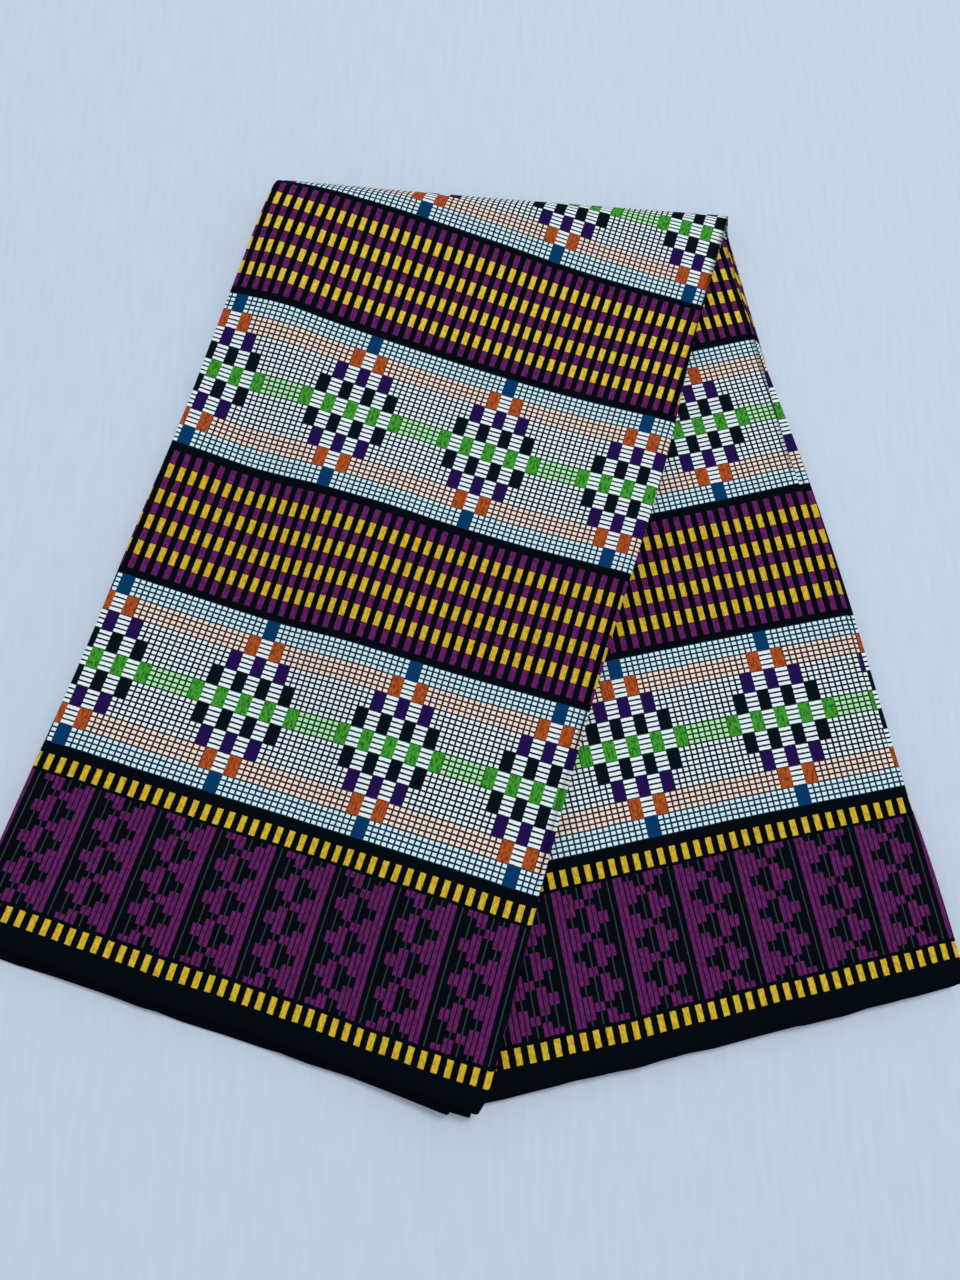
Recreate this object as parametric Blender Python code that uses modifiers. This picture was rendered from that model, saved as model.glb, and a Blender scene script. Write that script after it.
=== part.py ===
"""A printed cotton cloth, folded and laid down.

The cloth is folded back and forth along its length into a strip of six layers, with its
first cut end turned under. The strip is then folded once across, on a slanting line, so
that its two halves, called legs here, lie over each other at the top and spread apart
below. Everything is one sheet, so it is one solid.

Metres, +Z up. The origin is on the floor, at the middle of the cloth's box. +Y points from
the two selvedges towards the cross fold, and +X to the right.
"""

from collections import namedtuple
from math import cos, pi, radians, sin, tan

import bmesh
import bpy

# The cloth
CLOTH_WIDTH = 1.165      # selvedge to selvedge, along the strip
SHEET = 0.0010           # thickness
PITCH = 0.00175          # from one layer of the strip to the next, with the air between

# The strip
STRIP_WIDTH = 0.306
TURNED_END = 0.060       # width of the cut end that is turned under the top layer
TOP_LEVEL = 6            # levels count the layers of the strip, from the inside of the cross fold
INNER_BEND = 0.5 * PITCH

# How the strip lies
UPPER_LENGTH = 0.526     # left side of the upper leg, from the cross fold to the selvedge
LEG_SPREAD = radians(28.8)
FOLD_TURN = radians(-3.2)
FOLD_PLACE = (-0.1289, 0.2929)
DRAPE_RUN = 0.060        # the upper leg comes down to the floor over this distance
DRAPE_CLEARANCE = 0.003  # and starts to do so this far outside the lower leg

# Steps of the mesh
RUN_STEPS = 9            # across a layer
TURN_STEPS = 4           # round a side turn
UPPER_STEPS = 12         # along the upper leg
BEND_STEPS = 8           # round the cross fold
LOWER_STEPS = 5          # along the lower leg

COLOUR = (0.17, 0.10, 0.16, 1.0)
ROUGHNESS = 0.85

# Side turns, in the cloth's own order. The side is 0 on the left and 1 on the right. The other
# columns say how far the turn stands out past the strip's side, in millimetres, at five places
# spaced evenly along the strip: from the upper leg's selvedge over the cross fold to the lower's.
Turn = namedtuple("Turn", "side level_in level_out upper halfway_up fold halfway_down lower")
TURNS = (
    Turn(0, 5, 6, 5.0, -2.0, 3.0, 0.0, 0.0),
    Turn(1, 6, 4, 5.0, 1.0, -4.0, 0.5, 2.0),
    Turn(0, 4, 3, 1.0, -3.0, 2.5, 2.5, 2.5),
    Turn(1, 3, 2, -2.0, -2.0, -5.0, 3.5, 6.0),
    Turn(0, 2, 1, 2.0, -2.5, 2.5, 2.5, 3.0),
    Turn(1, 1, 0, -3.0, -2.0, -9.5, 0.7, 3.5),
)
PLACES_ALONG = Turn._fields[3:]

# How far each layer reaches past the strip's ends, in millimetres, at both selvedges.
Reach = namedtuple("Reach", "level upper lower")
REACHES = (
    Reach(0, 4.0, 0.0),
    Reach(1, 5.5, -1.5),
    Reach(2, 3.0, 0.5),
    Reach(3, 4.5, -2.0),
    Reach(4, 2.0, 0.5),
    Reach(5, -3.0, -1.0),
    Reach(6, 0.0, -0.5),
)

MILLIMETRE = 0.001
SLANT = -0.5 * LEG_SPREAD           # of the strip's own cross direction against the fold
OUTER_BEND = INNER_BEND + TOP_LEVEL * PITCH
AXIS_HEIGHT = OUTER_BEND + 0.5 * SHEET
DROP = AXIS_HEIGHT + INNER_BEND - 0.5 * SHEET
LOWER_LENGTH = CLOTH_WIDTH - UPPER_LENGTH - pi * OUTER_BEND * cos(SLANT)


def bend_radius(level):
    """Radius at which a layer goes round the cross fold."""
    return INNER_BEND + level * PITCH


def quarter_turn(level):
    """Length of cloth from the fold's crest to where the layer is flat again."""
    return 0.5 * pi * bend_radius(level)


def blend(ramp):
    """Smooth step from 0 to 1."""
    ramp = min(max(ramp, 0.0), 1.0)
    return ramp * ramp * (3.0 - 2.0 * ramp)


def reach(level, column):
    """How far a layer, or a point on a side turn between two layers, passes the strip's end."""
    below = REACHES[int(level)]
    above = REACHES[min(int(level) + 1, TOP_LEVEL)]
    share = level - int(level)
    return MILLIMETRE * ((1.0 - share) * getattr(below, column) + share * getattr(above, column))


def turn_place(turn, track):
    """Place of a side turn across the strip. The track runs from 0 to 1 along the strip."""
    along = track * (len(PLACES_ALONG) - 1)
    before = min(int(along), len(PLACES_ALONG) - 2)
    start, end = (getattr(turn, PLACES_ALONG[before + step]) for step in (0, 1))
    out = start + (end - start) * (along - before)
    return STRIP_WIDTH + out * MILLIMETRE if turn.side else -out * MILLIMETRE


def run_points(start, end, level, steps):
    """Points inside one flat layer, at the same places in plan for every layer of the upper leg."""
    shift = quarter_turn(level) * sin(SLANT)
    return [(start + (end - start) * step / steps - shift, level) for step in range(1, steps)]


def turn_points(turn, track):
    """Half circle from one layer to the next."""
    radius = 0.5 * abs(turn.level_out - turn.level_in) * PITCH
    outward = 1.0 if turn.side else -1.0
    centre = turn_place(turn, track) - outward * radius
    middle = 0.5 * (turn.level_in + turn.level_out)
    half = 0.5 * (turn.level_out - turn.level_in)
    angles = [pi * step / TURN_STEPS for step in range(TURN_STEPS + 1)]
    return [(centre + outward * radius * sin(angle), middle - half * cos(angle)) for angle in angles]


def section(track):
    """The cloth's zigzag across the strip, as places and levels."""
    first, last = TURNS[0], TURNS[-1]
    points = [(TURNED_END, first.level_in)]
    points += run_points(TURNED_END, 0.0, first.level_in, 2)
    for turn, following in zip(TURNS, TURNS[1:]):
        points += turn_points(turn, track)
        start, end = turn.side * STRIP_WIDTH, following.side * STRIP_WIDTH
        points += run_points(start, end, turn.level_out, RUN_STEPS)
    points += turn_points(last, track)
    points += run_points(STRIP_WIDTH, 0.0, last.level_out, RUN_STEPS)
    points.append((0.0, last.level_out))
    return points


def come_down(along, across):
    """How far the upper leg is below its height over the lower leg."""
    outside = -(along * cos(SLANT) - across * sin(SLANT)) - DRAPE_CLEARANCE
    return DROP * blend(outside / DRAPE_RUN)


def upper_leg(place, level, share):
    """A point of the upper leg. The share runs from 0 at the selvedge to 1 at the fold."""
    side = place + quarter_turn(level) * sin(SLANT)
    far = -UPPER_LENGTH - (reach(level, "upper") if share == 0.0 else 0.0)
    near = -side * tan(SLANT)
    down = far + (near - far) * share
    along = side * cos(SLANT) - down * sin(SLANT)
    across = side * sin(SLANT) + down * cos(SLANT)
    return along, across, AXIS_HEIGHT + bend_radius(level) - come_down(along, across)


def cross_fold(place, level, share):
    """A point on the bend over the fold, from the upper leg at 0 to the lower leg at 1."""
    radius = bend_radius(level)
    angle = pi * share
    along = place / cos(SLANT) - radius * (angle - 0.5 * pi) * tan(SLANT)
    return along, radius * sin(angle), AXIS_HEIGHT + radius * cos(angle)


def lower_leg(place, level, share):
    """A point of the lower leg. The share runs from 0 at the fold to 1 at the selvedge."""
    side = place - quarter_turn(level) * sin(SLANT)
    far = LOWER_LENGTH + (reach(level, "lower") if share == 1.0 else 0.0)
    near = -side * tan(SLANT)
    down = near + (far - near) * share
    along = side * cos(SLANT) - down * sin(SLANT)
    across = -(side * sin(SLANT) + down * cos(SLANT))
    return along, across, AXIS_HEIGHT - bend_radius(level)


def stations():
    """Rows of the mesh along the strip: which stretch, its share and its track."""
    rows = [(upper_leg, step / UPPER_STEPS, 0.5 * step / UPPER_STEPS) for step in range(UPPER_STEPS)]
    rows += [(cross_fold, step / BEND_STEPS, 0.5) for step in range(BEND_STEPS + 1)]
    rows += [(lower_leg, step / LOWER_STEPS, 0.5 + 0.5 * step / LOWER_STEPS)
             for step in range(1, LOWER_STEPS + 1)]
    return rows


def on_floor_plan(along, across, height):
    """From the cross fold's own directions to the cloth's frame."""
    x = FOLD_PLACE[0] + along * cos(FOLD_TURN) - across * sin(FOLD_TURN)
    y = FOLD_PLACE[1] + along * sin(FOLD_TURN) + across * cos(FOLD_TURN)
    return x, y, height


def clear_scene():
    """Remove the objects that a new file starts with."""
    for thing in list(bpy.data.objects):
        bpy.data.objects.remove(thing, do_unlink=True)


def cotton():
    """Matt printed cotton, in the print's overall colour."""
    material = bpy.data.materials.new("printed_cotton")
    material.use_nodes = True
    shader = material.node_tree.nodes["Principled BSDF"]
    shader.inputs["Base Color"].default_value = COLOUR
    shader.inputs["Roughness"].default_value = ROUGHNESS
    shader.inputs["Metallic"].default_value = 0.0
    return material


def folded_sheet(name, collection):
    """A flat grid, laid along the folds and given its thickness."""
    rows = stations()
    sections = [section(track) for _, _, track in rows]
    columns = len(sections[0])
    grid = bmesh.new()
    bmesh.ops.create_grid(grid, x_segments=columns - 1, y_segments=len(rows) - 1, size=0.5)
    for vertex in grid.verts:
        column = round((vertex.co.x + 0.5) * (columns - 1))
        row = round((vertex.co.y + 0.5) * (len(rows) - 1))
        stretch, share, _ = rows[row]
        place, level = sections[row][column]
        vertex.co = on_floor_plan(*stretch(place, level, share))
    mesh = bpy.data.meshes.new(name)
    grid.to_mesh(mesh)
    grid.free()
    sheet = bpy.data.objects.new(name, mesh)
    sheet.data.materials.append(cotton())
    collection.objects.link(sheet)
    thickness = sheet.modifiers.new("thickness", "SOLIDIFY")
    thickness.thickness = SHEET
    thickness.offset = 0.0
    thickness.use_even_offset = True
    thickness.use_quality_normals = True
    return sheet


def main():
    clear_scene()
    collection = bpy.data.collections.new("folded_cloth")
    bpy.context.scene.collection.children.link(collection)
    folded_sheet("cloth", collection)


main()
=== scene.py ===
# %% [markdown]
# A folded akwete cloth.
#
# This lesson dresses a folded cloth: printed cotton, about 1.17 m wide, folded back and forth
# into a strip, and the strip folded once across so that its two halves fan apart. The plain
# solid of that shape comes from model.glb. Here it is replaced by a thin sheet on the same folds,
# and a print is worked out for it from arithmetic on the cloth's own length and width.
#
# The first step loads the imported solid.

# %% Load the frame
from collections import namedtuple
from math import cos, exp, pi, radians, sin, tan

import bmesh
import bpy
from mathutils import Matrix, Vector


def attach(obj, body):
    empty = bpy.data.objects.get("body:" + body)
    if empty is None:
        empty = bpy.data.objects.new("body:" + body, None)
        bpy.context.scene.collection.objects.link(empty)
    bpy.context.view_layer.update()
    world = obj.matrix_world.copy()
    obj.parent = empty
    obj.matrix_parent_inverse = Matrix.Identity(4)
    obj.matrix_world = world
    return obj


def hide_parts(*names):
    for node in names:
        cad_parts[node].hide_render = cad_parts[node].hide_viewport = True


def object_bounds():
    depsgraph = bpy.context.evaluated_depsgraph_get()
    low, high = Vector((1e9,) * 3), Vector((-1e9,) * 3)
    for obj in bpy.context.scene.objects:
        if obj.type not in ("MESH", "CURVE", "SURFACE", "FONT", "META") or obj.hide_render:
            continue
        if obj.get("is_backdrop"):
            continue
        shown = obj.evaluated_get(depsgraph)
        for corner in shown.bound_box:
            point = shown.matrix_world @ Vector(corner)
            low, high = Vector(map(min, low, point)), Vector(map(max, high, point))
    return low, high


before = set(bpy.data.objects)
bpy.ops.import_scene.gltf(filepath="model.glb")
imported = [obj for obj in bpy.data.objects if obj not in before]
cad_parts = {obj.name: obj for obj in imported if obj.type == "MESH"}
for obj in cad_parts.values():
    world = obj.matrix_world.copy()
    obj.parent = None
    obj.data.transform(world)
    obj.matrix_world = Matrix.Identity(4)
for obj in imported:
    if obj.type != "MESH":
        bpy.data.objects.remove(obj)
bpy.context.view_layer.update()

# %% [markdown]
# Sizes of the cloth and of its folds.
#
# The sheet follows the solid's folds, so it starts from the same sizes. A strip of cloth that is
# folded on a slanting line has two legs, here the upper and the lower one. The layers of the
# strip are counted by level, from the inside of the cross fold outwards. The solid is 1 mm thick
# so that it can be handled as a solid. Real cotton is thinner, so this sheet is too.

# %% Sizes of the cloth and of its folds
MILLIMETRE = 0.001
CLOTH_WIDTH = 1.165      # selvedge to selvedge
SOLID_SHEET = 0.0010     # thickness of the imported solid
SHEET = 0.0006           # thickness of this sheet
PITCH = 0.00175          # from one layer to the next
STRIP_WIDTH = 0.306
TURNED_END = 0.060       # the cut end that is turned under the top layer
TOP_LEVEL = 6            # the outermost layer's level
INNER_BEND = 0.5 * PITCH   # radius of level 0 round the cross fold
UPPER_LENGTH = 0.526     # left side of the upper leg, from the cross fold to the selvedge
LEG_SPREAD = radians(28.8)
FOLD_TURN = radians(-3.2)        # of the cross fold on the floor plan
FOLD_PLACE = (-0.1289, 0.2929)   # of its left end
DRAPE_RUN = 0.060        # the upper leg comes down to the floor over this distance
DRAPE_CLEARANCE = 0.003  # and starts to do so this far outside the lower leg
SLANT = -0.5 * LEG_SPREAD        # of the strip's own cross direction against the fold
OUTER_BEND = INNER_BEND + TOP_LEVEL * PITCH
AXIS_HEIGHT = OUTER_BEND + 0.5 * SOLID_SHEET          # of the line that the layers bend round
DROP = AXIS_HEIGHT + INNER_BEND - 0.5 * SOLID_SHEET   # from the upper leg down to the floor
LOWER_LENGTH = CLOTH_WIDTH - UPPER_LENGTH - pi * OUTER_BEND * cos(SLANT)
SETTLE = 0.5 * (SOLID_SHEET - SHEET)   # a thinner sheet lies this much lower
print("legs:", round(UPPER_LENGTH, 4), "and", round(LOWER_LENGTH, 4), "m at their left sides")

# %% [markdown]
# The side folds.
#
# Where the cloth turns from one layer to the next, the fold never runs quite straight. Each row
# of this table is one side fold, in the cloth's own order. The mark says which millimetre of the
# cloth's length lies in the fold, and the lean how that mark moves when the fold stands out, so
# that the print on the visible layers stays straight. The other columns say how far the fold
# stands out past the strip's side, in millimetres, at places spaced evenly along the strip: from
# the upper selvedge up to the cross fold, and down again to the lower selvedge.

# %% The side folds
Turn = namedtuple("Turn", "side level_in level_out mark lean "
                          "upper up_5 up_4 up_3 up_2 up_1 fold "
                          "down_1 down_2 down_3 down_4 down_5 lower")
TURNS = (
    Turn(0, 5, 6, 60.0, -1,
         5.0, 3.8, 2.0, 3.2, 3.4, 6.1, 3.4, 2.0, 1.0, 0.0, 0.0, 0.0, 0.0),
    Turn(1, 6, 4, 366.0, 1,
         5.5, 1.8, 0.0, 0.8, 3.4, -0.7, -3.2, -1.5, 0.0, 0.5, 1.0, 1.5, 2.0),
    Turn(0, 4, 3, 698.0, 0,
         1.0, 0.0, -2.0, -3.0, -1.5, 1.0, 2.5, 2.0, 2.5, 2.5, 3.0, 3.2, 2.5),
    Turn(1, 3, 2, 1025.8, -1,
         -12.0, -7.0, -3.0, -2.0, -2.5, -3.0, -5.0, -3.0, 3.5, 6.8, 7.1, 6.8, 5.5),
    Turn(0, 2, 1, 1324.0, 0,
         2.0, 0.5, -1.5, -2.5, -1.0, 1.0, 2.5, 2.0, 2.0, 2.5, 1.5, 1.5, 3.0),
    Turn(1, 1, 0, 1617.5, -1,
         -13.0, -8.0, -4.0, -2.0, -3.0, -6.0, -9.5, -7.8, -5.0, 2.4, 1.6, 8.0, 9.0),
)
PLACES_ALONG = Turn._fields[5:]
END_DRAW = 3.5           # a fold is drawn in at the selvedges, in millimetres
END_DRAW_RUN = 0.006     # over this share of the track
LAST_MARK = TURNS[-1].mark + STRIP_WIDTH / MILLIMETRE


def smooth_between(values, position):
    """A smooth curve through evenly spaced values. The position runs from 0 to 1."""
    along = min(max(position, 0.0), 1.0) * (len(values) - 1)
    left = min(int(along), len(values) - 2)
    share = along - left
    start, end = values[left], values[left + 1]
    before = values[left - 1] if left else 2.0 * start - end
    after = values[left + 2] if left + 2 < len(values) else 2.0 * end - start
    bend = 2.0 * before - 5.0 * start + 4.0 * end - after
    twist = 3.0 * start - before - 3.0 * end + after
    return start + 0.5 * share * (end - before + share * (bend + share * twist))


def stands_out(turn, track):
    """Millimetres that a side fold stands out. The track runs from 0 to 1 along the strip."""
    drawn_in = END_DRAW * (exp(-track / END_DRAW_RUN) + exp((track - 1.0) / END_DRAW_RUN))
    return smooth_between([getattr(turn, place) for place in PLACES_ALONG], track) - drawn_in


# %% [markdown]
# The zigzag across the strip.
#
# A section across the strip is one line that runs back and forth through the layers. Each point
# of it has a place across the strip, a level, and a mark on the cloth's length. The two layers
# that show, the outer and the inner one, get many points and the hidden ones few, which is how
# the whole sheet stays under 200,000 triangles.

# %% The zigzag across the strip
SHOWN_STEPS = 60         # across a layer that shows
HIDDEN_STEPS = 12        # across a hidden one
END_STEPS = 4            # across the turned end
ROUND_STEPS = 8          # round a side fold
SHOWN_LEVELS = (0, TOP_LEVEL)


def quarter_turn(level):
    """Length of cloth from the cross fold's crest to where the layer is flat again."""
    return 0.5 * pi * (INNER_BEND + level * PITCH)


def fold_points(turn, track):
    """Points round a side fold, as half a circle."""
    radius = 0.5 * abs(turn.level_out - turn.level_in) * PITCH
    out = stands_out(turn, track)
    outward = 1.0 if turn.side else -1.0
    centre = STRIP_WIDTH * turn.side + outward * (out * MILLIMETRE - radius)
    middle = 0.5 * (turn.level_in + turn.level_out)
    half = 0.5 * (turn.level_out - turn.level_in)
    mark = turn.mark + turn.lean * out
    points = []
    for step in range(ROUND_STEPS + 1):
        angle = pi * step / ROUND_STEPS
        place = centre + outward * radius * sin(angle)
        cloth = (angle - 0.5 * pi) * radius / MILLIMETRE
        points.append((place, middle - half * cos(angle), mark + cloth))
    return points


def layer_points(before, after, level, steps):
    """Points of a flat layer between two points of the section, without those two."""
    shift = quarter_turn(level) * sin(SLANT)
    start, end = round(before[0] / STRIP_WIDTH), round(after[0] / STRIP_WIDTH)
    if level == TURNS[0].level_in:
        start = TURNED_END / STRIP_WIDTH
    points = []
    for step in range(1, steps):
        place = STRIP_WIDTH * (start + (end - start) * step / steps) - shift
        share = (place - before[0]) / (after[0] - before[0])
        points.append((place, level, before[2] + (after[2] - before[2]) * share))
    return points


def section(track):
    """The cloth's zigzag at one place along the strip."""
    points = [(TURNED_END, TURNS[0].level_in, 0.0)]
    for turn in TURNS:
        rounded = fold_points(turn, track)
        steps = SHOWN_STEPS if turn.level_in in SHOWN_LEVELS else HIDDEN_STEPS
        if turn is TURNS[0]:
            steps = END_STEPS
        points += layer_points(points[-1], rounded[0], turn.level_in, steps)
        points += rounded
    cut_end = (0.0, TURNS[-1].level_out, LAST_MARK)
    points += layer_points(points[-1], cut_end, TURNS[-1].level_out, SHOWN_STEPS)
    points.append(cut_end)
    return points


print(len(section(0.0)), "points in each section")

# %% [markdown]
# Along the strip.
#
# Three functions lay a point of the section out in space: on the upper leg, on the lower leg and
# round the cross fold between them. Folding a stack on a slanting line is a reflection, so the
# lower leg is the upper one mirrored in the fold, and each layer goes round it at its own radius.
# Where the upper leg leaves the lower one, it comes down to the floor in a smooth step.
#
# At the selvedges the layers don't end in one line. A short table says how far each one reaches,
# a few sine waves ripple it, and each leg's outer corner stays a little behind.

# %% Along the strip
Reach = namedtuple("Reach", "level upper lower")   # millimetres past the strip's two ends
REACHES = (
    Reach(0, 4.0, 0.0),
    Reach(1, 5.5, -1.5),
    Reach(2, 3.0, 0.5),
    Reach(3, 4.5, -2.0),
    Reach(4, 0.5, 0.5),
    Reach(5, -3.0, -1.0),
    Reach(6, 0.0, -0.5),
)
END_GRIP = 6             # the higher, the nearer to its end a layer is stretched to its reach
OUTER_CORNER = -3.2      # a leg's outer corner ends short, in millimetres
Ripple = namedtuple("Ripple", "size wave start")   # in millimetres, the start in radians
RIPPLES = (
    Ripple(0.45, 21.0, 0.3),
    Ripple(0.30, 9.3, 1.9),
    Ripple(0.18, 4.1, 4.4),
)


def blend(ramp):
    """Smooth step from 0 to 1."""
    ramp = min(max(ramp, 0.0), 1.0)
    return ramp * ramp * (3.0 - 2.0 * ramp)


def reach(level, column):
    """How far a layer, or a point between two layers, passes the strip's end."""
    below = REACHES[int(level)]
    above = REACHES[min(int(level) + 1, TOP_LEVEL)]
    share = level - int(level)
    return MILLIMETRE * ((1.0 - share) * getattr(below, column) + share * getattr(above, column))


def ripple(mark):
    """How far a selvedge stands out at a mark of the cloth's length, in metres."""
    return MILLIMETRE * sum(one.size * sin(mark / one.wave + one.start) for one in RIPPLES)


def askew(from_inner):
    """How far a selvedge is askew, in metres, at a share of the way from a leg's inner side."""
    return MILLIMETRE * OUTER_CORNER * min(max(from_inner, 0.0), 1.0) ** 2


def come_down(along, across):
    """How far the upper leg is below its height over the lower leg."""
    outside = -(along * cos(SLANT) - across * sin(SLANT)) - DRAPE_CLEARANCE
    return DROP * blend(outside / DRAPE_RUN)


def upper_leg(place, level, mark, share):
    """Place of a point of the upper leg, and its distance from the selvedge."""
    side = place + quarter_turn(level) * sin(SLANT)
    near = -side * tan(SLANT)
    width = (near + UPPER_LENGTH) * share
    past_end = reach(level, "upper") + ripple(mark) + askew(1.0 - place / STRIP_WIDTH)
    down = width - UPPER_LENGTH - past_end * (1.0 - share) ** END_GRIP
    along = side * cos(SLANT) - down * sin(SLANT)
    across = side * sin(SLANT) + down * cos(SLANT)
    height = AXIS_HEIGHT + INNER_BEND + level * PITCH - come_down(along, across)
    return (along, across, height), width


def lower_leg(place, level, mark, share):
    """Place of a point of the lower leg, and its distance from its own selvedge."""
    side = place - quarter_turn(level) * sin(SLANT)
    near = -side * tan(SLANT)
    width = (LOWER_LENGTH - near) * (1.0 - share)
    past_end = reach(level, "lower") + ripple(-mark) + askew(place / STRIP_WIDTH)
    down = LOWER_LENGTH - width + past_end * share ** END_GRIP
    along = side * cos(SLANT) - down * sin(SLANT)
    across = -(side * sin(SLANT) + down * cos(SLANT))
    return (along, across, AXIS_HEIGHT - INNER_BEND - level * PITCH), width


def cross_fold(place, level, share):
    """Place of a point on the bend."""
    radius = INNER_BEND + level * PITCH
    angle = pi * share
    along = place / cos(SLANT) - radius * (angle - 0.5 * pi) * tan(SLANT)
    return along, radius * sin(angle), AXIS_HEIGHT + radius * cos(angle)


# %% [markdown]
# Uneven layers.
#
# Nobody folds a cloth quite flat. Each row of this table is a soft ridge or trough: where it lies
# on the floor plan, how long and wide it is, which way it runs, and how much it lifts the top of
# the full stack. The layers below take their share by height, so no layer passes through another
# and the lowest one stays flat on the floor.

# %% Uneven layers
Swell = namedtuple("Swell", "x y length width turn height")   # millimetres and degrees
SWELLS = (
    Swell(25, 258, 230, 20, -3.2, 1.3),
    Swell(25, 293, 230, 8, -3.2, -2.0),
    Swell(-25, 150, 110, 65, 72, -2.2),
    Swell(-142, 195, 95, 20, 74, 1.2),
    Swell(104, 95, 95, 18, 71, 1.1),
    Swell(-70, 30, 75, 16, 62, 1.0),
    Swell(-20, 60, 60, 14, 84, -0.9),
    Swell(-120, -90, 85, 22, 82, -1.6),
    Swell(-200, -85, 80, 16, 75, 1.6),
    Swell(-10, -150, 70, 15, 66, 1.4),
    Swell(-160, -215, 45, 20, 58, 1.5),
    Swell(-60, -235, 40, 24, 80, -1.4),
    Swell(165, 30, 110, 20, 99, 1.4),
    Swell(195, -110, 75, 22, 96, -1.5),
    Swell(125, -190, 60, 18, 108, 1.5),
    Swell(240, -70, 90, 13, 105, 1.4),
    Swell(150, 170, 60, 16, 104, -1.2),
)
STACK_TOP = 2.0 * AXIS_HEIGHT / MILLIMETRE
LOWEST = 0.5 * SHEET


def looseness(x, y):
    """How much thicker than its plain height the stack is at a place on the floor plan."""
    thicker = 1.0
    for swell in SWELLS:
        turn = radians(swell.turn)
        aside, ahead = x / MILLIMETRE - swell.x, y / MILLIMETRE - swell.y
        lengthwise = (aside * cos(turn) + ahead * sin(turn)) / swell.length
        crosswise = (ahead * cos(turn) - aside * sin(turn)) / swell.width
        thicker += swell.height / STACK_TOP * exp(-0.5 * (lengthwise ** 2 + crosswise ** 2))
    return thicker


def on_floor_plan(along, across, height):
    """From the cross fold's own directions to the frame's, with the unevenness."""
    x = FOLD_PLACE[0] + along * cos(FOLD_TURN) - across * sin(FOLD_TURN)
    y = FOLD_PLACE[1] + along * sin(FOLD_TURN) + across * cos(FOLD_TURN)
    return Vector((x, y, LOWEST + (height - SETTLE - LOWEST) * looseness(x, y)))


print(len(SWELLS), "ridges and troughs")

# %% [markdown]
# Where the print lies.
#
# Cotton slips and skews when it is folded by hand, so the print's lines aren't straight either.
# Two small tables for each leg say how many millimetres the print has slipped, sideways and
# upwards, at places spread evenly over the leg. A row of a table goes across the leg, and the rows
# go up it from the selvedge. The result is each point's place on the flat cloth: its mark, and its
# distance from the first selvedge.

# %% Where the print lies
PRINT_WIDTH = 1170.0     # of the print, selvedge to selvedge, in millimetres
SLIP_HEIGHT = 0.540      # of the part of a leg that the tables cover, in metres
UPPER_ASIDE = (
    (-4.1, -1.6, -0.2, -0.6, -0.3),
    (-0.7, -0.3, -0.6, -2.1, -2.1),
    (0.4, 1.6, 1.7, 0.1, -2.0),
    (-0.1, 1.9, 0.7, -0.2, -1.6),
    (-1.7, 1.6, 1.3, 0.7, -0.8),
    (-1.2, 1.3, 1.8, 0.9, -0.3),
    (-0.5, 0.3, 2.2, 2.6, 2.6),
)
UPPER_UP = (
    (-0.2, 0.8, 0.0, -0.8, -0.7),
    (-0.6, -0.5, -0.9, -1.0, -1.2),
    (-1.2, -0.9, -0.6, 0.0, -0.6),
    (-1.2, -0.7, -0.1, 0.5, 1.2),
    (-0.9, -1.6, -1.1, -0.5, 2.0),
    (0.5, -1.2, -0.5, -0.6, 2.8),
    (2.1, -1.4, -1.1, -1.1, 2.8),
    (2.4, -1.6, -2.5, -2.3, 1.5),
    (3.2, 0.9, -1.5, -2.9, 1.0),
    (5.1, 6.8, 5.0, 2.3, 3.8),
)
LOWER_ASIDE = (
    (-5.7, -3.9, -1.6, 0.4, 1.5),
    (-4.2, -2.3, -1.8, -0.1, 2.3),
    (-3.6, -3.0, -2.0, -0.1, 3.5),
    (-3.3, -2.8, -1.5, -0.2, 3.4),
    (-2.8, -2.8, -2.7, -2.8, -1.6),
    (-2.0, -3.0, -4.0, -5.2, -6.5),
)
LOWER_UP = (
    (0.0, -0.2, 0.0, 0.8, 0.9),
    (-0.3, 0.4, 0.9, 1.1, -0.2),
    (-1.0, 0.4, 1.5, 1.7, 0.9),
    (-2.3, -1.1, 0.0, 1.1, 3.8),
    (-4.1, -3.2, -2.4, -1.4, 2.0),
    (-6.0, -5.4, -4.5, -2.8, -0.5),
)


def slip(table, place, width):
    """Millimetres that the print has slipped, from a table of rows up the leg."""
    across_leg = place / STRIP_WIDTH
    return smooth_between([smooth_between(row, across_leg) for row in table], width / SLIP_HEIGHT)


def upper_print(place, mark, width):
    """A point of the upper leg, on the flat cloth."""
    return (mark - slip(UPPER_ASIDE, place, width),
            width / MILLIMETRE - slip(UPPER_UP, place, width))


def lower_print(place, mark, width):
    """A point of the lower leg, on the flat cloth."""
    return (mark + slip(LOWER_ASIDE, place, width),
            PRINT_WIDTH - width / MILLIMETRE + slip(LOWER_UP, place, width))


def lay_down(stretch, share, place, level, mark):
    """A point of the sheet: its place in the frame, and on the flat cloth."""
    if stretch is not cross_fold:
        spot, width = stretch(place, level, mark, share)
        on_print = upper_print if stretch is upper_leg else lower_print
        return on_floor_plan(*spot), on_print(place, mark, width)
    start = lay_down(upper_leg, 1.0, place, level, mark)[1]
    end = lay_down(lower_leg, 0.0, place, level, mark)[1]
    flat = tuple(a + (b - a) * share for a, b in zip(start, end))
    return on_floor_plan(*cross_fold(place, level, share)), flat


print("print", PRINT_WIDTH, "mm wide")

# %% [markdown]
# The rows of the mesh.
#
# One grid is enough for the whole cloth, because a folded cloth is still one rectangle. Its rows
# follow the selvedges: close together round the cross fold, wider apart on the flat legs.

# %% The rows of the mesh
UPPER_STEPS = 96         # along the upper leg
BEND_STEPS = 20          # round the cross fold
LOWER_STEPS = 92         # along the lower leg


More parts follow.
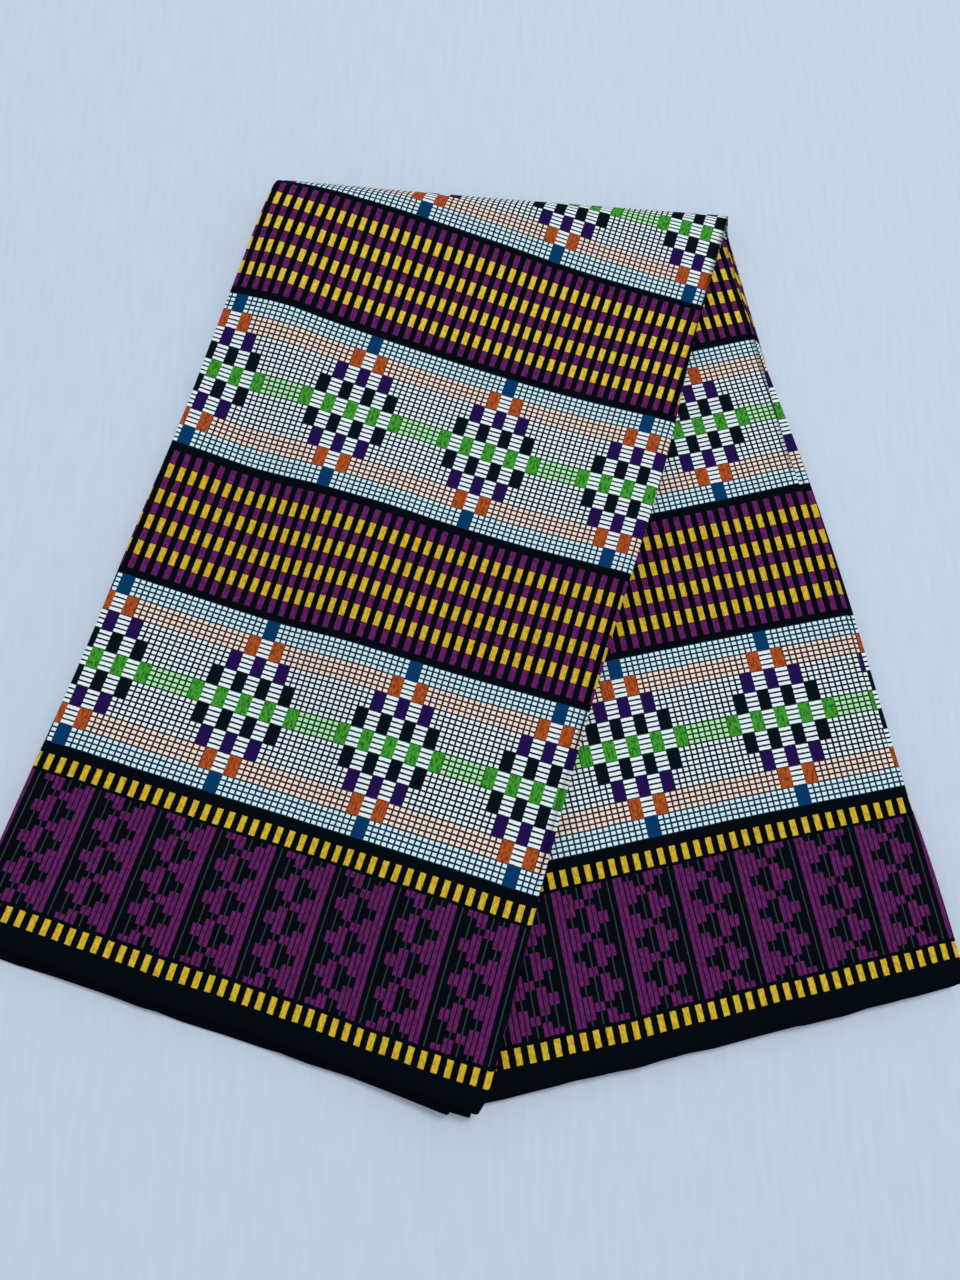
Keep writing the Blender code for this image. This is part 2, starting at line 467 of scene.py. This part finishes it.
def stations():
    """Each row's stretch of the strip, its share of that stretch and its track."""
    rows = [(upper_leg, step / UPPER_STEPS, 0.5 * step / UPPER_STEPS)
            for step in range(UPPER_STEPS)]
    rows += [(cross_fold, step / BEND_STEPS, 0.5) for step in range(BEND_STEPS + 1)]
    rows += [(lower_leg, step / LOWER_STEPS, 0.5 + 0.5 * step / LOWER_STEPS)
             for step in range(1, LOWER_STEPS + 1)]
    return rows


print(len(stations()), "rows")

# %% [markdown]
# Laying the sheet.
#
# bmesh makes a flat grid, one unit wide and high, so a vertex's place in it tells its row and its
# column. Each vertex is then moved to its place on the folds. Every face corner gets its
# coordinates on the flat cloth, in millimetres, as a UV map. The print is drawn on those
# coordinates, so it bends with the cloth and turns over with it, as ink in real cotton does.
# Solidify gives the sheet its thickness at the end.

# %% Laying the sheet
def lay_sheet(name):
    """The cloth as one bent grid, with the flat cloth's millimetres in its UV map."""
    rows = stations()
    sections = [section(track) for _, _, track in rows]
    columns = len(sections[0])
    grid = bmesh.new()
    bmesh.ops.create_grid(grid, x_segments=columns - 1, y_segments=len(rows) - 1, size=0.5)
    print_map = grid.loops.layers.uv.new("print")
    flat = {}
    for vertex in grid.verts:
        column = round((vertex.co.x + 0.5) * (columns - 1))
        row = round((vertex.co.y + 0.5) * (len(rows) - 1))
        stretch, share, _ = rows[row]
        vertex.co, flat[vertex] = lay_down(stretch, share, *sections[row][column])
    for face in grid.faces:
        face.smooth = True
        for corner in face.loops:
            corner[print_map].uv = flat[corner.vert]
    mesh = bpy.data.meshes.new(name)
    grid.to_mesh(mesh)
    grid.free()
    sheet = bpy.data.objects.new(name, mesh)
    bpy.context.scene.collection.objects.link(sheet)
    return sheet


cloth = lay_sheet("akwete_cloth")
thickness = cloth.modifiers.new("thickness", "SOLIDIFY")
thickness.thickness = SHEET
thickness.offset = 0.0
thickness.use_quality_normals = True
print("sheet:", len(cloth.data.vertices), "vertices,",
      len(cloth.data.polygons), "faces on each side")
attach(cloth, "root")
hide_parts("cloth")

# %% [markdown]
# Drawing with arithmetic.
#
# The print is a chart of bars, blocks and small cells, so it can be drawn with Math nodes: the
# distance to the nearest whole number makes a repeat, and a distance compared with a limit makes a
# bar. To keep the chart readable, a small class writes those nodes for us. An Amount is a number
# that varies over the cloth, and adding or multiplying two Amounts adds a node.

# %% Drawing with arithmetic
NEAR_ENOUGH = 0.25       # a whole Amount this near to a number counts as that number

printed_cotton = bpy.data.materials.new("printed_akwete_cotton")
printed_cotton.use_nodes = True
tree = printed_cotton.node_tree
shader = tree.nodes["Principled BSDF"]


def calculate(operation, *values, clamp=False):
    """One Math node. Each value is an Amount or a plain number."""
    node = tree.nodes.new("ShaderNodeMath")
    node.operation = operation
    node.use_clamp = clamp
    for socket, value in zip(node.inputs, values):
        if isinstance(value, Amount):
            tree.links.new(value.socket, socket)
        else:
            socket.default_value = value
    return Amount(node.outputs[0])


class Amount:
    """A number that varies over the cloth: the output of a node."""

    def __init__(self, socket):
        self.socket = socket

    def __add__(self, other):
        return calculate("ADD", self, other)

    def __sub__(self, other):
        return calculate("SUBTRACT", self, other)

    def __rsub__(self, other):
        return calculate("SUBTRACT", other, self)

    def __mul__(self, other):
        return calculate("MULTIPLY", self, other)

    def __truediv__(self, other):
        return calculate("DIVIDE", self, other)

    def size(self):
        return calculate("ABSOLUTE", self)

    def whole(self):
        return calculate("ROUND", self)

    def off_whole(self):
        """Distance to the nearest whole number, from -0.5 to 0.5."""
        return self - self.whole()


def is_number(value, number):
    """1 where a whole Amount is this number."""
    return calculate("COMPARE", value, number, NEAR_ENOUGH)


def total(amounts):
    """The sum of several Amounts."""
    first, *others = amounts
    for other in others:
        first = first + other
    return first


print("an Amount can be added, multiplied and compared")

# %% [markdown]
# The flat cloth's coordinates.
#
# One coordinate runs along the cloth's length, the other across its width. The print is the same
# from both selvedges, so the second one is turned back at the middle. Ink never lands quite
# straight, so both are shaken a little by noise.

# %% The flat cloth's coordinates
PRINT_MIDDLE = 0.5 * PRINT_WIDTH
BLOCK = 7.582            # the print's block, in millimetres along the cloth
FIRST_MOTIF = 65.9       # the first diamond's middle, in millimetres along the cloth
NOISE_MEAN = 0.5
SHAKE = 0.45             # from the least to the most, in millimetres
SHAKE_SCALE = 0.45       # waves to the millimetre

flat_cloth = tree.nodes.new("ShaderNodeUVMap")
flat_cloth.uv_map = "print"
parts = tree.nodes.new("ShaderNodeSeparateXYZ")
tree.links.new(flat_cloth.outputs["UV"], parts.inputs[0])


def noise(scale, detail=2.0, roughness=0.5, stretch=(1.0, 1.0), turn=0.0):
    """Noise on the flat cloth, from 0 to 1. The scale is in waves to the millimetre."""
    placed = tree.nodes.new("ShaderNodeMapping")
    placed.inputs["Scale"].default_value = (stretch[0], stretch[1], 1.0)
    placed.inputs["Rotation"].default_value = (0.0, 0.0, turn)
    tree.links.new(flat_cloth.outputs["UV"], placed.inputs["Vector"])
    node = tree.nodes.new("ShaderNodeTexNoise")
    node.noise_dimensions = "2D"
    node.inputs["Scale"].default_value = scale
    node.inputs["Detail"].default_value = detail
    node.inputs["Roughness"].default_value = roughness
    tree.links.new(placed.outputs["Vector"], node.inputs["Vector"])
    return node


shake = tree.nodes.new("ShaderNodeSeparateColor")
tree.links.new(noise(SHAKE_SCALE).outputs["Color"], shake.inputs[0])
along = Amount(parts.outputs["X"]) + (Amount(shake.outputs["Red"]) - NOISE_MEAN) * SHAKE
across = Amount(parts.outputs["Y"]) + (Amount(shake.outputs["Green"]) - NOISE_MEAN) * SHAKE
from_edge = PRINT_MIDDLE - (across - PRINT_MIDDLE).size()
blocks = (along - FIRST_MOTIF) / BLOCK
print("one block is", BLOCK, "mm of cloth")

# %% [markdown]
# The inks.
#
# Colours are written as they look on the screen, from 0 to 255, and turned into the linear
# numbers that the shader wants. Layers of ink go over each other through masks. Six inks get dark
# specks, because ink never covers cotton evenly.

# %% The inks
def ink(red, green, blue):
    """A screen colour as linear light, with the standard screen curve."""
    return tuple(((part / 255.0 + 0.055) / 1.055) ** 2.4 if part > 10 else part / 255.0 / 12.92
                 for part in (red, green, blue)) + (1.0,)


BORDER = ink(3, 8, 16)
YELLOW = ink(217, 184, 50)
DEEP_YELLOW = ink(168, 127, 34)
# painted light: a lighter yellow for the bars near the cross fold, where more light falls on the
# cloth
YELLOW_WITH_PAINTED_LIGHT = ink(229, 199, 64)
DEEP_YELLOW_WITH_PAINTED_LIGHT = ink(183, 143, 44)
PURPLE = ink(104, 34, 100)
DARK_RED = ink(88, 18, 44)
PLUM = ink(102, 36, 98)
MAROON = ink(44, 8, 42)
DEEP_PURPLE = ink(62, 14, 58)
GREY_THREAD = ink(58, 60, 70)
WHITE = ink(230, 242, 245)
PINK = ink(245, 226, 215)
PALE_BLUE = ink(214, 238, 246)
PALE_GREEN = ink(184, 234, 180)
GREEN = ink(66, 156, 48)
DARK_GREEN = ink(20, 82, 30)
BLACK = ink(6, 16, 24)
VIOLET = ink(34, 14, 76)
ORANGE = ink(178, 82, 34)
DARK_ORANGE = ink(92, 34, 20)
BLUE = ink(4, 56, 100)
NAVY_LINE = ink(6, 12, 30)
GREEN_LINE = ink(18, 66, 34)
RUST_LINE = ink(60, 32, 28)
TEAL_LINE = ink(6, 46, 68)
SPECK_SCALE = 0.75       # waves to the millimetre
SPECK_STRETCH = 0.4      # makes the specks two and a half times as long as they are wide
SPECK_START = 0.48       # noise above this value darkens the ink
SPECK_CONTRAST = 7.0
SPECK_SOFT = 0.1         # how softly a speck reaches its full amount


def print_over(under, over, mask):
    """Put one ink over another where the mask is 1."""
    node = tree.nodes.new("ShaderNodeMix")
    node.data_type = "RGBA"
    tree.links.new(mask.socket, node.inputs["Factor"])
    for name, value in (("A", under), ("B", over)):
        socket = next(s for s in node.inputs if s.name == name and s.type == "RGBA")
        if isinstance(value, tuple):
            socket.default_value = value
        else:
            tree.links.new(value, socket)
    return next(s for s in node.outputs if s.type == "RGBA")


def speckled(plain, dark, turn, amount):
    """An ink with darker specks in it. Their grain is turned by some radians."""
    grain = noise(SPECK_SCALE, detail=3.0, stretch=(1.0, SPECK_STRETCH), turn=turn)
    specks = (Amount(grain.outputs["Fac"]) - SPECK_START) * SPECK_CONTRAST
    specks = calculate("SMOOTH_MIN", specks, amount, SPECK_SOFT)
    return print_over(plain, dark, calculate("MAXIMUM", specks, 0.0))


yellow_ink = speckled(YELLOW, DEEP_YELLOW, turn=0.3, amount=0.55)
# the yellow with painted light, for the bars near the cross fold
yellow_with_painted_light_ink = speckled(YELLOW_WITH_PAINTED_LIGHT, DEEP_YELLOW_WITH_PAINTED_LIGHT, turn=0.3, amount=0.55)
green_ink = speckled(GREEN, DARK_GREEN, turn=0.8, amount=0.75)
orange_ink = speckled(ORANGE, DARK_ORANGE, turn=-0.7, amount=0.6)
purple_ink = speckled(PURPLE, DEEP_PURPLE, turn=0.3, amount=0.6)
plum_ink = speckled(PLUM, MAROON, turn=0.0, amount=0.4)
print("six of the inks are speckled")

# %% [markdown]
# The bars.
#
# Two wide bands of bars and two narrow ladders share one rule: a bar sits in each block along the
# cloth. In the wide bands, every other row is yellow, the rows between are purple, and a thin dark
# red edge joins them. The band nearer the cloth's middle lies near the cross fold and gets a
# lighter
# yellow: painted light, for the brighter light that falls on the cloth there. A band's rows are
# counted up and down from its middle, in pitches.

# %% The bars
BAR_SOFT = 0.03          # softness of edges, in blocks
BAND_SOFT = 0.30         # softness of edges, in millimetres
Ladder = namedtuple("Ladder", "middle half_height first_bar half_bar")
LADDERS = (
    Ladder(19.7, 4.8, 0.88, 0.235),
    Ladder(111.2, 4.8, 0.93, 0.235),
)
BarBand = namedtuple("BarBand", "middle pitch first_bar half_bar yellow")
BAR_BANDS = (
    BarBand(280.9, 17.8, 0.80, 0.240, yellow_ink),
    # this band near the cross fold uses the yellow with painted light
    BarBand(485.0, 17.4, 0.80, 0.240, yellow_with_painted_light_ink),
)
YELLOW_HALF = 0.26       # half the height of a yellow bar, in pitches of the band
RED_HALF = 0.31          # and of one with its dark red edges
YELLOW_END = 2.0         # where the yellow rows end, in pitches from the band's middle
BARS_END = 2.3           # where the purple ones do


def within(value, limit, soft):
    """1 where the value is under the limit and 0 over it, with a soft edge."""
    return calculate("MULTIPLY_ADD", value, -1.0 / soft, limit / soft + 0.5, clamp=True)


def band(low, high, soft=BAND_SOFT):
    """1 between two distances from the selvedge."""
    return within((from_edge - 0.5 * (low + high)).size(), 0.5 * (high - low), soft)


def bars(first_bar, half_bar):
    """1 on a bar in each block along the cloth."""
    return within((blocks - first_bar).off_whole().size(), half_bar, BAR_SOFT)


look = BORDER
for ladder in LADDERS:
    low, high = ladder.middle - ladder.half_height, ladder.middle + ladder.half_height
    look = print_over(look, yellow_ink, bars(ladder.first_bar, ladder.half_bar) * band(low, high))
for row_band in BAR_BANDS:
    rows_up = (from_edge - row_band.middle) / row_band.pitch
    bar = bars(row_band.first_bar, row_band.half_bar)
    yellow_row = (rows_up - 0.5).off_whole().size()
    bar_soft = BAND_SOFT / row_band.pitch
    inside = within(rows_up.size(), BARS_END, bar_soft)
    full = within(rows_up.size(), YELLOW_END, bar_soft)
    red = bar * within(yellow_row, RED_HALF, bar_soft) * full
    yellow = bar * within(yellow_row, YELLOW_HALF, bar_soft) * full
    for bar_ink, mask in ((purple_ink, bar * inside), (DARK_RED, red), (row_band.yellow, yellow)):
        look = print_over(look, bar_ink, mask)
print(len(LADDERS), "ladders and", len(BAR_BANDS), "bands of bars")

# %% [markdown]
# The band of comb work.
#
# Between the two ladders, purple columns stand in pairs. There are six places for a pair in every
# five blocks along the cloth. One of them stays bare, and each of the others has its own length of
# column, which makes the stepped crosses. Up the band, the columns repeat too.

# %% The band of comb work
COMB_LOW = 26.8          # from the selvedge, in millimetres
COMB_HIGH = 104.5
COMB_PERIOD = 19.4       # up the band, in millimetres
COMB_REPEAT = 5.0        # along the cloth, in blocks
COMB_PLACES = 6.0        # for pairs, in one repeat
FULL_PAIR = 3.83         # the first full pair, in blocks
PAIR_STEP = COMB_REPEAT / COMB_PLACES
COLUMN_AT = 0.25         # of a pair's step, either side of its middle
COLUMN_HALF = 0.185      # half a column's width, in pair steps
COLUMN_SOFT = 0.05
THREAD_HALF = 0.05       # half the width of the grey thread where no column stands
THREAD_SOFT = 0.06
LENGTH_SOFT = 0.02       # softness of a column's ends, in periods
Pair = namedtuple("Pair", "step ends half_length")
# A pair is centred on the start of each period where ends is 0, and on its middle where it is 1.
PAIRS = (
    Pair(0, 0, 1.0),
    Pair(2, 0, 0.170),
    Pair(3, 0, 0.395),
    Pair(4, 1, 0.125),
    Pair(5, 1, 0.340),
)

comb_row = ((from_edge - COMB_LOW) / COMB_PERIOD).off_whole().size()
comb_place = (blocks - FULL_PAIR) / PAIR_STEP
comb_step = comb_place.whole()
comb_number = comb_step - calculate("FLOOR", comb_step / COMB_PLACES) * COMB_PLACES
in_pair = comb_place - comb_step
column = within((in_pair.size() - COLUMN_AT).size(), COLUMN_HALF, COLUMN_SOFT)
whole_pair = within(in_pair.size(), COLUMN_AT + COLUMN_HALF, COLUMN_SOFT)
thread = within(in_pair.size(), THREAD_HALF, THREAD_SOFT)


def pair_mask(pair):
    """1 along the columns of one kind of pair."""
    row_distance = 0.5 - comb_row if pair.ends else comb_row
    long_enough = within(row_distance, pair.half_length, LENGTH_SOFT)
    return is_number(comb_number, pair.step) * long_enough


comb = total([pair_mask(pair) for pair in PAIRS])
in_comb = band(COMB_LOW, COMB_HIGH)
look = print_over(look, GREY_THREAD, thread * (1.0 - comb) * in_comb)
look = print_over(look, MAROON, whole_pair * comb * in_comb)
look = print_over(look, plum_ink, column * comb * in_comb)
print(len(PAIRS), "column lengths")

# %% [markdown]
# The stepped diamonds.
#
# Three white bands carry stepped diamonds on a fine grid. A diamond is a board of blocks: where
# column and row add up to an even number the block is coloured by its row, where they add up to
# an odd one it is white with long cells. Outside the diamonds the rows only tint the grid and
# its lines.

# %% The stepped diamonds
ROW_HEIGHT = 12.5        # of a row of blocks, in millimetres
SMALL_ROW = 3.125        # of a row of cells
CELLS_TO_BLOCK = 2.0     # along the cloth
DIAMOND_REPEAT = 12.5    # in blocks
DIAMOND_REACH = 4        # in blocks, from the middle
WhiteBand = namedtuple("WhiteBand", "low high middle")   # millimetres from the selvedge
WHITE_BANDS = (
    WhiteBand(122.8, 235.3, 179.1),
    WhiteBand(327.4, 439.9, 383.65),
    WhiteBand(528.8, 641.2, 585.05),
)
DiamondRow = namedtuple("DiamondRow", "row block cell line")
DIAMOND_ROWS = (
    DiamondRow(0, green_ink, PALE_GREEN, GREEN_LINE),
    DiamondRow(1, BLACK, WHITE, NAVY_LINE),
    DiamondRow(2, VIOLET, WHITE, NAVY_LINE),
    DiamondRow(3, orange_ink, PINK, RUST_LINE),
    DiamondRow(4, BLUE, PALE_BLUE, TEAL_LINE),
)
CELL_HALF = 0.35         # half a cell's length along the cloth, in cells
CELL_HALF_UP = 0.32      # and its half height, in rows of cells
CELL_SOFT = 0.05
CELL_SOFT_UP = 0.10
ODD_LIMIT = 0.25         # halfway from an odd sum's 0 to an even one's 0.5
ODD_SOFT = 0.1
STEP_SOFT = 0.2          # softness of a diamond's outline, in blocks

board_column = blocks - (blocks / DIAMOND_REPEAT).whole() * DIAMOND_REPEAT
column_number = board_column.whole()
masks = [band(place.low, place.high) for place in WHITE_BANDS]
white_band = total(masks)
height_in_band = total([(from_edge - place.middle) * calculate("GREATER_THAN", mask, 0.0)
                        for place, mask in zip(WHITE_BANDS, masks)])
row_number = (height_in_band / ROW_HEIGHT).whole().size()
small_row = (height_in_band / SMALL_ROW + 0.5).off_whole()
half_sum = (column_number + row_number) * 0.5
odd_block = within(0.5 - half_sum.off_whole().size(), ODD_LIMIT, ODD_SOFT)
in_diamond = within(column_number.size() + row_number, DIAMOND_REACH + 0.5, STEP_SOFT)
coloured = in_diamond * (1.0 - odd_block)
long_cells = in_diamond * odd_block
cell_place = (board_column * CELLS_TO_BLOCK - 0.5).off_whole()
cell_column = within(cell_place.size(), CELL_HALF, CELL_SOFT)
cell_row = within(small_row.size(), CELL_HALF_UP, CELL_SOFT_UP)
cell = calculate("MAXIMUM", cell_column, long_cells) * cell_row

line_ink, cell_ink, block_ink = NAVY_LINE, WHITE, BLACK
for kind in DIAMOND_ROWS:
    here = is_number(row_number, float(kind.row))
    line_ink = print_over(line_ink, kind.line, here)
    cell_ink = print_over(cell_ink, kind.cell, here)
    block_ink = print_over(block_ink, kind.block, here)
cell_ink = print_over(cell_ink, WHITE, long_cells)
diamonds = print_over(line_ink, cell_ink, cell)
diamonds = print_over(diamonds, block_ink, coloured)
look = print_over(look, diamonds, white_band)
print(len(DIAMOND_ROWS), "kinds of row")

# %% [markdown]
# Cotton.
#
# Printed cotton is matt. Two stretched noises at right angles stand in for the threads; a regular
# weave this fine would only flicker in a picture. They raise the surface a little, and they make
# the ink a little lighter and darker from thread to thread. A wide, weak noise does the same over
# whole hands' breadths, because no two parts of a printed cloth took up quite the same ink.

# %% Cotton
ROUGHNESS = 0.85
SPECULAR = 0.03          # cotton has next to no gloss
THREAD_SCALE = 1.1       # waves to the millimetre
THREAD_STRETCH = 5.0     # a thread's noise is this much longer than wide
BUMP_HEIGHT = 0.00012    # in metres
BUMP_STRENGTH = 0.35
THREAD_SHADE = 0.24      # how far the ink's value follows the threads
CLOUD_SCALE = 0.012      # waves to the millimetre
CLOUD_SHADE = 0.10       # how far the ink's value follows the wide noise

shader.inputs["Roughness"].default_value = ROUGHNESS
shader.inputs["Specular IOR Level"].default_value = SPECULAR
weft = Amount(noise(THREAD_SCALE, stretch=(1.0, THREAD_STRETCH)).outputs["Fac"])
warp = Amount(noise(THREAD_SCALE, stretch=(THREAD_STRETCH, 1.0)).outputs["Fac"])
clouds = Amount(noise(CLOUD_SCALE).outputs["Fac"])
uneven_ink = tree.nodes.new("ShaderNodeHueSaturation")
tree.links.new(look, uneven_ink.inputs["Color"])
threads = weft + warp - 2.0 * NOISE_MEAN
value = threads * THREAD_SHADE + (clouds - NOISE_MEAN) * CLOUD_SHADE + 1.0
tree.links.new(value.socket, uneven_ink.inputs["Value"])
tree.links.new(uneven_ink.outputs["Color"], shader.inputs["Base Color"])
bump = tree.nodes.new("ShaderNodeBump")
bump.inputs["Strength"].default_value = BUMP_STRENGTH
bump.inputs["Distance"].default_value = BUMP_HEIGHT
tree.links.new((weft + warp).socket, bump.inputs["Height"])
tree.links.new(bump.outputs["Normal"], shader.inputs["Normal"])
cloth.data.materials.append(printed_cotton)
print(len(tree.nodes), "nodes")

# %% [markdown]
# Floor, light and camera.
#
# The cloth lies on a pale floor, brushed with faint strokes, and is seen from almost straight
# above. An even sky gives most of the light. A soft lamp, high up and beyond the far side, adds the
# rest, and the narrow shadow under the near edges that shows how the cloth lies on the floor.

# %% Floor, light and camera
FLOOR_SIZE = 14.0        # in metres
FLOOR_COLOUR = ink(206, 217, 234)
FLOOR_WORN = ink(191, 205, 225)
FLOOR_GRAIN = (260.0, 30.0, 1.0)   # brush strokes to the metre, across and along them
FLOOR_ROUGHNESS = 0.6
CAMERA_AT = Vector((-0.0265, -0.1634, 0.5889))
CAMERA_AIM = Vector((0.0061, -0.0235, 0.0))
CAMERA_ROLL = radians(-13.12)
CAMERA_LENS = 26.38      # in millimetres, as is the sensor's height
CAMERA_SENSOR = 36.0
CAMERA_NEAREST = 0.01    # in metres; nothing nearer is drawn
LIGHT_AT = Vector((1.45, 2.75, 7.45))
LIGHT_SIZE = 1.75        # in metres
LIGHT_POWER = 273.0      # in watts
SKY_COLOUR = (0.90, 0.95, 1.0, 1.0)
SKY_STRENGTH = 0.60

scene = bpy.context.scene
scene.view_settings.view_transform = "Standard"

floor_grid = bmesh.new()
bmesh.ops.create_grid(floor_grid, x_segments=1, y_segments=1, size=0.5 * FLOOR_SIZE)
floor_mesh = bpy.data.meshes.new("floor")
floor_grid.to_mesh(floor_mesh)
floor_grid.free()
floor = bpy.data.objects.new("floor", floor_mesh)
scene.collection.objects.link(floor)
paint = bpy.data.materials.new("pale_floor")
paint.use_nodes = True
coat = paint.node_tree.nodes["Principled BSDF"]
coat.inputs["Roughness"].default_value = FLOOR_ROUGHNESS
place_on_floor = paint.node_tree.nodes.new("ShaderNodeTexCoord")
strokes = paint.node_tree.nodes.new("ShaderNodeMapping")
strokes.inputs["Scale"].default_value = FLOOR_GRAIN
brushed = paint.node_tree.nodes.new("ShaderNodeTexNoise")
brushed.inputs["Scale"].default_value = 1.0
shades = paint.node_tree.nodes.new("ShaderNodeValToRGB")
shades.color_ramp.elements[0].color = FLOOR_WORN
shades.color_ramp.elements[1].color = FLOOR_COLOUR
for source, target in ((place_on_floor.outputs["Object"], strokes.inputs["Vector"]),
                       (strokes.outputs["Vector"], brushed.inputs["Vector"]),
                       (brushed.outputs["Fac"], shades.inputs["Fac"]),
                       (shades.outputs["Color"], coat.inputs["Base Color"])):
    paint.node_tree.links.new(source, target)
floor.data.materials.append(paint)
floor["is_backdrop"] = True

lamp = bpy.data.lights.new("soft_light", "AREA")
lamp.shape = "SQUARE"
lamp.size = LIGHT_SIZE
lamp.energy = LIGHT_POWER
light = bpy.data.objects.new("soft_light", lamp)
light.location = LIGHT_AT
light.rotation_euler = LIGHT_AT.to_track_quat("Z", "Y").to_euler()   # it shines along its -Z
scene.collection.objects.link(light)

world = scene.world or bpy.data.worlds.new("studio")
scene.world = world
world.use_nodes = True
sky = world.node_tree.nodes["Background"]
sky.inputs["Color"].default_value = SKY_COLOUR
sky.inputs["Strength"].default_value = SKY_STRENGTH

view = bpy.data.cameras.new("photo_view")
view.sensor_fit = "VERTICAL"
view.sensor_height = CAMERA_SENSOR
view.lens = CAMERA_LENS
view.clip_start = CAMERA_NEAREST
camera = bpy.data.objects.new("photo_view", view)
# A camera looks along its own -Z, with +X to its right and +Y up.
forward = (CAMERA_AIM - CAMERA_AT).normalized()
level_right = forward.cross(Vector((0.0, 0.0, 1.0))).normalized()
level_up = level_right.cross(forward)
right = level_right * cos(CAMERA_ROLL) - level_up * sin(CAMERA_ROLL)
up = level_right * sin(CAMERA_ROLL) + level_up * cos(CAMERA_ROLL)
placed = Matrix((right, up, -forward)).transposed().to_4x4()
placed.translation = CAMERA_AT
camera.matrix_world = placed
scene.collection.objects.link(camera)
scene.camera = camera

# %% [markdown]
# Measure and finish.
#
# The last step prints the size of the box round what was made.

# %% Measure and finish
bpy.context.view_layer.update()
low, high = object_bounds()
print("sheet box in metres:", [round(b - a, 4) for a, b in zip(low, high)])
